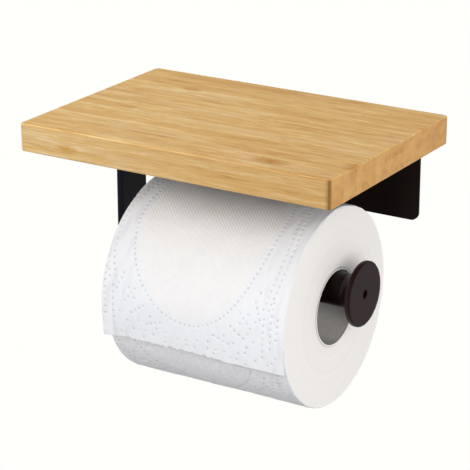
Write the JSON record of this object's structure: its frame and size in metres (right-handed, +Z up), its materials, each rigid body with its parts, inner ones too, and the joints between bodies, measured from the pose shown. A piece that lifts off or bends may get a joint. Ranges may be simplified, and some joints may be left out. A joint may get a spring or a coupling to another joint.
{
  "type": "toilet paper holder",
  "caption": "Wall-mounted toilet paper holder: a wooden shelf on a bent black steel bracket, with a side arm and a rod with a flared end that carries a paper roll.",
  "frame": {"origin": "on the wall plane, on the back face of the wall plate, midway between the two wall screw holes", "axes": "+X along the shelf towards the rod's free end, +Y into the wall, +Z up"},
  "size_m": [0.192, 0.134, 0.1546],
  "materials": {
    "bamboo": "satin",
    "black_coat": "matte",
    "zinc_steel": "satin",
    "grey_board": "matte",
    "wound_paper": "matte",
    "tissue": "matte"
  },
  "bodies": {
    "holder": {"shelf_board": "bamboo", "wall_bracket": "black_coat", "side_arm": "black_coat", "shelf_screws": "zinc_steel", "arm_screws": "zinc_steel", "rod_tube": "black_coat", "rod_base_plug": "zinc_steel", "rod_washer": "black_coat", "rod_screw": "black_coat", "rod_end_cap": "black_coat"},
    "roll": {"cardboard_core": "grey_board", "paper_roll": "wound_paper", "loose_sheet": "tissue"}
  },
  "joints": [
    {"name": "roll_spin", "type": "hinge", "parent": "holder", "child": "roll", "pos_m": [0.006, -0.065, -0.0579], "axis": [1, 0, 0], "continuous": true}
  ]
}
